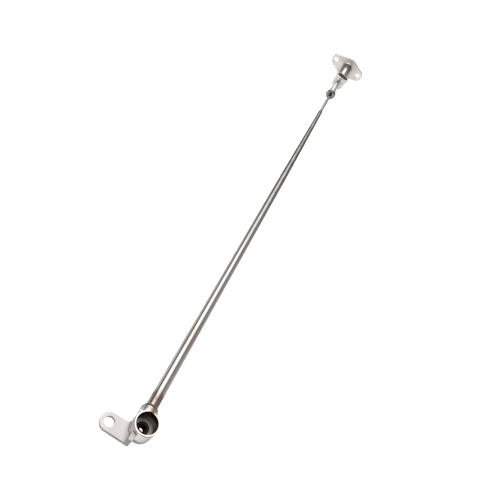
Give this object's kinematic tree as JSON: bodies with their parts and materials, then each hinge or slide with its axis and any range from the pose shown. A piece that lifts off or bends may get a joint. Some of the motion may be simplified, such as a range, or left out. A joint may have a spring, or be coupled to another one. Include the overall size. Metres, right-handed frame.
{
  "type": "gas strut stay",
  "caption": "Slender gas strut with a long tapered steel tube, an open pivot cup with a bored lug at one end and a hinged two-bolt foot on the rod.",
  "frame": {"origin": "centre of the foot flange's flat back, where the stay is bolted to the frame or sash", "axes": "+X is the outward normal of the flange's back, with the strut running from it towards -X; +Z is along both pivots, with the pivot cup's mouth up; +Y is the side the lug reaches to. The strut's own axis is 3 mm to the +Y side of the X axis."},
  "size_m": [1.1065, 0.0942, 0.049],
  "materials": {
    "polished_stainless": "polished stainless steel",
    "satin_stainless": "satin stainless steel",
    "welded_steel": "heat-tinted weld",
    "dark_steel": "dark oxide steel",
    "hard_chrome": "ground hard chrome",
    "spring_steel": "spring steel",
    "black_plastic": "moulded black nylon",
    "seal_rubber": "black seal rubber",
    "bearing_bronze": "turned bearing bronze",
    "turned_aluminium": "turned aluminium"
  },
  "bodies": {
    "cylinder": {"pressure_tube": "polished_stainless", "chamber_plug": "turned_aluminium", "plug_o_ring": "seal_rubber", "rod_guide": "bearing_bronze", "rod_seal": "seal_rubber", "seal_washer": "satin_stainless", "guide_circlip": "spring_steel", "rod_wiper": "seal_rubber", "pivot_cup": "satin_stainless", "socket_weld": "welded_steel", "lug_bracket": "satin_stainless"},
    "swivel": {"swivel_bush_upper": "black_plastic", "swivel_bush_lower": "black_plastic", "swivel_sleeve": "satin_stainless"},
    "piston": {"piston": "turned_aluminium", "piston_ring": "seal_rubber", "piston_washer": "spring_steel"},
    "rod": {"piston_rod": "hard_chrome", "piston_nut": "satin_stainless", "lock_nut": "dark_steel", "lock_washer": "satin_stainless", "jam_ring": "dark_steel", "rod_end": "satin_stainless", "knuckle_bush": "bearing_bronze"},
    "foot": {"hinge_fork": "satin_stainless", "hinge_pin": "hard_chrome", "hinge_cap_top": "black_plastic", "hinge_cap_bottom": "black_plastic", "foot_post": "polished_stainless", "post_weld": "welded_steel", "foot_flange": "satin_stainless"}
  },
  "joints": [
    {"name": "rod_slide", "type": "slide", "parent": "cylinder", "child": "piston", "axis": [1, 0, 0], "range_m": [-0.1, 0], "stiffness_N_per_m": 60, "springref_m": 0.5},
    {"name": "rod_spin", "type": "hinge", "parent": "piston", "child": "rod", "pos_m": [-0.336, 0.0025, 0], "axis": [1, 0, 0], "continuous": true},
    {"name": "foot_hinge", "type": "hinge", "parent": "rod", "child": "foot", "pos_m": [-0.126, 0, 0], "axis": [0, 0, 1], "range_deg": [-80, 80]},
    {"name": "cup_swivel", "type": "hinge", "parent": "cylinder", "child": "swivel", "pos_m": [-1.0891, -0.0005, 0], "axis": [0, 0, 1], "continuous": true}
  ]
}
